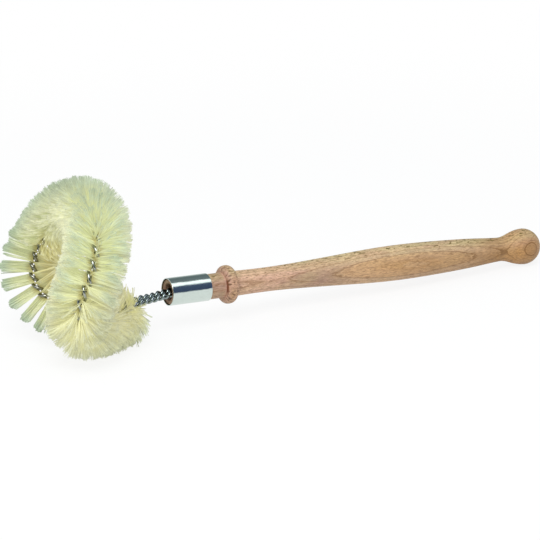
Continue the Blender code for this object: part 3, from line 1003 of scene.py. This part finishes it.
def tuftBristles(number, rng):
    # roots, ways, lengths, curls and tones of one half turn's bristles, on both sides of the core
    b = SimpleNamespace(**bristle)
    toStem = {0: -1, tuftCount - 1: 1}.get(number, 0)  # which way along the wires the stem lies
    covered = any(first <= number <= last for first, last in b.coveredStretches)
    low = number >= b.lowFrom
    darkShare = b.lowDarkShare if low else b.coveredDarkShare if covered else b.darkShare
    strayShare = b.coveredStrayShare if covered else b.strayShare
    strayTwist = b.coveredStrayTwist if covered else b.strayTwist
    firstTurn = wire["layTurnAtBranch"] + number / 2
    start, end = np.interp((firstTurn, firstTurn + 0.5), path.turns, path.along)
    start, end = start + b.tuftGap / 2, end - b.tuftGap / 2
    locks, clumps, perClump = b.locksPerSide, b.clumpsPerSide, b.bristlesPerClump
    rows = []
    for sign in (1, -1):
        # locks that narrow towards their tips, clumps in the locks, bristles in the clumps
        lockSlots = (np.arange(locks) + 0.5 + rng.uniform(-b.lockJitter, b.lockJitter, locks)) / locks
        clumpSlots = (np.arange(clumps) + rng.uniform(0, 1, clumps)) / clumps
        lock = np.floor(clumpSlots * locks).astype(int)
        pull = (lockSlots[lock] - clumpSlots) * (b.lowLockPull if low else b.lockPull)
        wide = rng.uniform(0, 1, clumps) < strayShare
        lockLean = np.degrees(pull * (end - start) / b.reach)
        clumpLean = rng.normal(0, b.lockLean, locks)[lock]
        clumpLean += rng.normal(0, 1, clumps) * np.where(wide, b.strayLean, b.clumpLean)
        clumpTwist = rng.normal(0, b.lockTwist, locks)[lock]
        clumpTwist += rng.normal(0, 1, clumps) * np.where(wide, strayTwist, b.clumpTwist)
        clumpLength = rng.normal(0, b.lockLength, locks)[lock] + rng.normal(0, b.clumpLength, clumps)
        clumpLength *= b.lowUnevenness if low else 1.0
        clumpTone = rng.uniform(0, b.lockTone, locks)[lock] + rng.uniform(0, b.clumpTone, clumps)
        isDark = rng.uniform(0, 1, clumps) < darkShare
        clumpTone -= isDark * rng.uniform(b.leastDarker, 1, clumps) * b.darker
        thin = rng.uniform(0, 1, clumps) < b.endThinning * abs(toStem)
        isLong = rng.uniform(0, 1, clumps) < b.endLongShare
        endShare = np.where(isLong, b.endLongLength, rng.uniform(*b.endShort, clumps))
        clump = np.repeat(np.arange(clumps), perClump)
        count = len(clump)
        spots = np.clip(clumpSlots[clump] + rng.normal(0, b.spotSpread, count), 0.0, 1.0)
        distances = start + (end - start) * spots
        point, tangent, toWire, toTips = path.frames(distances)
        ways, loose = drawTogether(distances, point, tangent, toTips * sign)
        upright = ways[:, 2] > 0
        endLean = np.abs(rng.normal(0, b.endLean, clumps))[clump]
        opening = rng.uniform(0, 1, clumps)[clump]
        leans = lockLean[clump] + (clumpLean[clump] + rng.normal(0, b.ownLean, count)) * loose
        leans += np.where(upright, endLean, np.interp(opening, (0, 1), b.endLowLean)) * toStem
        turned = clumpTwist[clump] + rng.normal(0, b.ownTwist, count)
        twists = (pull * 180 * sign)[clump] + turned * loose  # 180 degrees in a half turn
        ways = lean(ways, tangent, toWire, leans, twists)
        layer = rng.uniform(-0.5, 0.5, count)[:, None] * (b.coreThickness - b.rootWidth)
        roots = point + toTips * sign * b.coreHalfWidth + toWire * layer
        lengths = b.reach - b.coreHalfWidth + clumpLength[clump] + rng.normal(0, b.ownLength, count)
        short = rng.uniform(0, 1, count) < b.shortOnes
        lengths -= short * rng.uniform(b.leastShorter, 1.0, count) * b.shortBy
        if toStem:
            lengths *= np.where(upright, endShare[clump], np.interp(opening, (0, 1), b.endLowShare))
        curls = rng.normal(0, b.clumpCurl, (clumps, 3))[clump] + rng.normal(0, b.ownCurl, (count, 3))
        curls *= loose[:, None]
        curls -= ways * (curls * ways).sum(1)[:, None]
        tones = clumpTone[clump] + rng.uniform(0, b.ownTone, count)
        kept = ~(thin[clump] & upright)
        if toStem:
            surplus = np.arange(count) % perClump >= b.endLongBristles
            kept &= ~(isLong[clump] & upright & surplus)
        rows.append([values[kept] for values in (roots, ways, lengths, curls, tones)])
    return [np.concatenate(values) for values in zip(*rows)]


def keepToOwnSide(roots, ways, lengths):
    # in the lower half of the ring a bristle stops short of the middle, where the other side's are
    low = roots[:, 2] < ring["height"] / 2
    side = np.where(roots[:, 1] > 0, 1.0, -1.0)
    inward = -ways[:, 1] * side
    smallest = 1e-6  # keeps the division safe
    room = (roots[:, 1] * side - bristle["midClearance"]) / np.maximum(inward, smallest)
    limited = low & (inward > smallest) & (room < lengths)
    return np.where(limited, np.maximum(room, bristle["shortest"]), lengths)


def growTuft(number, finish):
    rng = np.random.default_rng(bristle["seed"] + number)
    roots, ways, lengths, curls, tones = tuftBristles(number, rng)
    lengths = keepToOwnSide(roots, ways, lengths)
    turn = np.array(lieMatrix.to_3x3())
    place = np.array(lieMatrix.translation)

    def toFrame(points):
        moved = points @ turn.T * mm + place
        moved[:, 2] = np.maximum(moved[:, 2], bristle["floorClearance"] * mm)
        return moved

    stages = [toFrame(roots)]
    for share in bristle["steps"]:
        stages.append(toFrame(roots + ways * (lengths * share)[:, None] + curls * share**2))
    frameWays = ways @ turn.T
    across = unit(np.cross(frameWays, bristle["crossway"]))
    upward = np.cross(frameWays, across)

    bm = bmesh.new()
    alongLayer = bm.verts.layers.float.new("alongBristle")
    toneLayer = bm.verts.layers.float.new("tone")
    indexLayer = bm.faces.layers.int.new("bristle")
    half = bristle["rootWidth"] / 2 * mm
    angles = [math.tau * corner / 3 for corner in range(3)]
    triangle = [(half * math.cos(angle), half * math.sin(angle)) for angle in angles]
    faces = []
    for index in range(len(roots)):
        corners = []
        for sideways, upwards in triangle:
            offset = across[index] * sideways + upward[index] * upwards
            corner = bm.verts.new(stages[0][index] + offset)
            corner[toneLayer] = tones[index]
            corners.append(corner)
        face = bm.faces.new(corners)
        face[indexLayer] = index
        faces.append(face)
    openEdges = list(bm.edges)
    taper = bristle["tipShare"] ** (1 / len(bristle["steps"]))
    before = stages[0]
    for share, stage in zip(bristle["steps"], stages[1:]):
        faces = bmesh.ops.extrude_discrete_faces(bm, faces=faces)["faces"]
        for face in faces:
            index = face[indexLayer]
            middle, goal = Vector(before[index]), Vector(stage[index])
            for vert in face.verts:
                vert.co = goal + (vert.co - middle) * taper
                vert[alongLayer] = share
        before = stage
    bmesh.ops.holes_fill(bm, edges=openEdges, sides=3)
    bmesh.ops.recalc_face_normals(bm, faces=bm.faces)
    name = f"bristleTuft{number + 1:02d}"
    mesh = bpy.data.meshes.new(name)
    bm.to_mesh(mesh)
    bm.free()
    finishPiece(name, mesh, finish, "bristle", f"tuft_{number + 1:02d}")


bristles = bristleFinish()
for number in range(tuftCount):
    growTuft(number, bristles)
print("bristles grown")


# stage

stage = {
    "floorColour": (0.90, 0.90, 0.90),
    "floorRoughness": 0.9,
    "floorGlow": 0.86,
    "shadowReach": (0.25, 0.70),  # metres from the middle at which the floor turns to plain white
    "floorSize": 12.0,
    "ambient": (0.93, 0.97, 1.0),
    "ambientStrength": 0.80,
    # what the metal mirrors, from the dark room in front, over a soft box, to the wall behind
    "mirrored": [
        (0.0, (0.55, 0.60, 0.66)),
        (0.02, (0.045, 0.07, 0.14)),
        (0.29, (0.07, 0.105, 0.19)),
        (0.35, (1.5, 1.55, 1.6)),
        (0.46, (1.7, 1.7, 1.75)),
        (0.51, (0.20, 0.24, 0.26)),
        (0.80, (0.15, 0.19, 0.20)),
        (1.0, (0.6, 0.66, 0.66)),
    ],
    "keyPower": 9.0,
    "keySize": 0.7,
    "keyPlace": (-0.55, -0.65, 1.05),
    "aimPlace": (-0.06, 0.0, 0.03),
    "cameraPlace": (-0.858847, -1.575321, 0.679919),
    "cameraTurn": (70.03514, 0.50031, -28.27698),
    "lens": 188.225,
    "sensorWidth": 36.0,
    "clip": (0.05, 30.0),
}


def buildFloor():
    bm = bmesh.new()
    bmesh.ops.create_grid(bm, x_segments=1, y_segments=1, size=stage["floorSize"] / 2)
    mesh = bpy.data.meshes.new("floor")
    bm.to_mesh(mesh)
    bm.free()
    floor = placed("floor", mesh)
    finish = Finish(bpy.data.materials.new("pale floor"))
    mesh.materials.append(finish.owner)
    finish.paint(Base_Color=opaque(stage["floorColour"]), Roughness=stage["floorRoughness"],
                 Specular_IOR_Level=0.0)
    isCamera, isGlossy = finish.outputs("ShaderNodeLightPath", ("Is Camera Ray", "Is Glossy Ray"))
    seen = isCamera + isGlossy
    glow = finish.node("ShaderNodeEmission", None, {"Color": (1.0, 1.0, 1.0, 1.0), "Strength": 1.0})
    base = Signal(finish, finish.shader.outputs[0])
    far = finish.step(finish.distance(finish.framePoint(), (0.0, 0.0, 0.0)), *stage["shadowReach"])
    share = seen * (far * (1 - stage["floorGlow"]) + stage["floorGlow"])
    mixed = finish.node("ShaderNodeMixShader", None, {0: share, 1: base, 2: glow})
    finish.feed(finish.tree.nodes["Material Output"].inputs["Surface"], mixed)


def buildWorld():
    world = bpy.data.worlds.new("studio")
    bpy.context.scene.world = world
    finish = Finish(world)
    isCamera, isGlossy = finish.outputs("ShaderNodeLightPath", ("Is Camera Ray", "Is Glossy Ray"))
    _, front, up = finish.split(finish.node("ShaderNodeTexCoord", None, None, "Generated"))
    rise = finish.angle(up, front * -1.0) / math.pi
    mirrored = finish.node("ShaderNodeValToRGB", {"stops": stage["mirrored"]}, {0: rise})
    ambient = tuple(value * stage["ambientStrength"] for value in stage["ambient"])
    colour = finish.mix(isGlossy, ambient, mirrored)
    colour = finish.mix(isCamera, colour, (1.0, 1.0, 1.0))
    finish.feed(finish.tree.nodes["Background"].inputs["Color"], colour)


def buildLamps():
    data = bpy.data.lights.new("key", "AREA")
    data.shape = "DISK"
    data.size = stage["keySize"]
    data.energy = stage["keyPower"]
    lamp = placed("key", data)
    lamp.location = stage["keyPlace"]
    aim = Vector(stage["aimPlace"]) - lamp.location
    lamp.rotation_euler = aim.to_track_quat("-Z", "Y").to_euler()


def buildCamera():
    data = bpy.data.cameras.new("camera")
    data.lens = stage["lens"]
    data.sensor_width = stage["sensorWidth"]
    data.clip_start, data.clip_end = stage["clip"]
    camera = placed("camera", data)
    camera.location = stage["cameraPlace"]
    camera.rotation_euler = [math.radians(angle) for angle in stage["cameraTurn"]]
    bpy.context.scene.camera = camera


buildFloor()
buildWorld()
buildLamps()
buildCamera()
bpy.context.scene.view_settings.view_transform = "Standard"
print("stage built")
